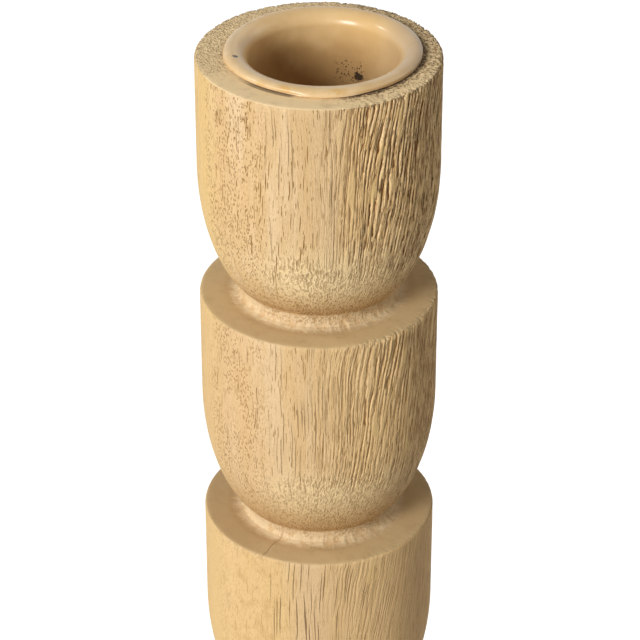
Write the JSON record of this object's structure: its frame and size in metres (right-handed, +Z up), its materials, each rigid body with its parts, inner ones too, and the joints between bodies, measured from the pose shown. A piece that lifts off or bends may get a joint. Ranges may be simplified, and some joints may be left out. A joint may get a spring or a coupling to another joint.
{
  "type": "candlestick",
  "caption": "Turned wooden candlestick: a column of stacked cup-shaped tiers on a round foot, with a lift-out metal candle cup in its top.",
  "frame": {"origin": "on the surface that the candlestick stands on, under the middle of its column", "axes": "+Z up along the column, +X to the right and +Y away in the picture's view"},
  "size_m": [0.09, 0.09, 0.2212],
  "materials": {
    "column_wood": "open-grained, thin clear lacquer",
    "foot_wood": "open-grained, thin clear lacquer",
    "cup_metal": "beige lacquer, satin gloss, worn at the lip",
    "zinc_steel": "zinc plated",
    "felt": "pressed felt"
  },
  "bodies": {
    "stand": {"column": "column_wood", "foot": "foot_wood", "foot_screw": "zinc_steel", "screw_washer": "zinc_steel", "felt_pad_1": "felt", "felt_pad_2": "felt", "felt_pad_3": "felt", "felt_pad_4": "felt"},
    "cup": {"candle_cup": "cup_metal"}
  },
  "joints": [
    {"name": "cup_lift", "type": "slide", "parent": "stand", "child": "cup", "axis": [0, 0, 1], "range_m": [0, 0.03]}
  ]
}
